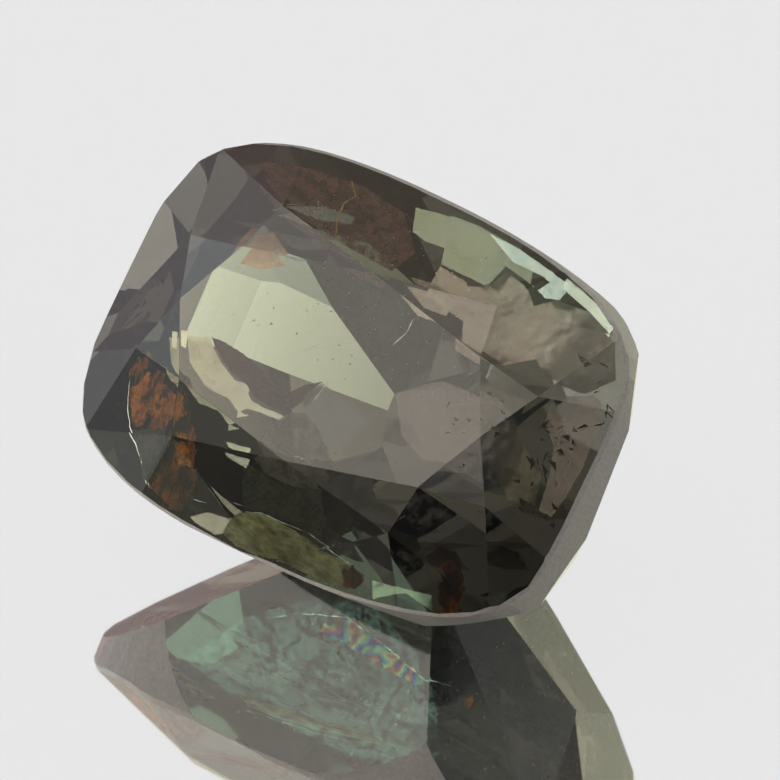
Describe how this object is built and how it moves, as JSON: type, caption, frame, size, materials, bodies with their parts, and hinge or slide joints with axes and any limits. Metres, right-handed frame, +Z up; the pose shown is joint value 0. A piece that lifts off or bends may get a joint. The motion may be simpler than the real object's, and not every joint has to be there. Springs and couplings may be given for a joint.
{
  "type": "faceted cushion-cut gemstone",
  "caption": "Cut alexandrite: a cushion-shaped faceted gemstone with a flat table and a deep stepped pavilion, lying on one facet.",
  "frame": {"origin": "middle of the bounding box's base, level with the pavilion facet that the stone lies on", "axes": "+Z up from the surface the stone lies on; +X along the long axis of its girdle; the table faces up and towards -Y"},
  "size_m": [0.007, 0.0046, 0.0049],
  "materials": {
    "alexandrite": "polished"
  },
  "bodies": {
    "root": {"alexandrite": "alexandrite"}
  },
  "joints": []
}
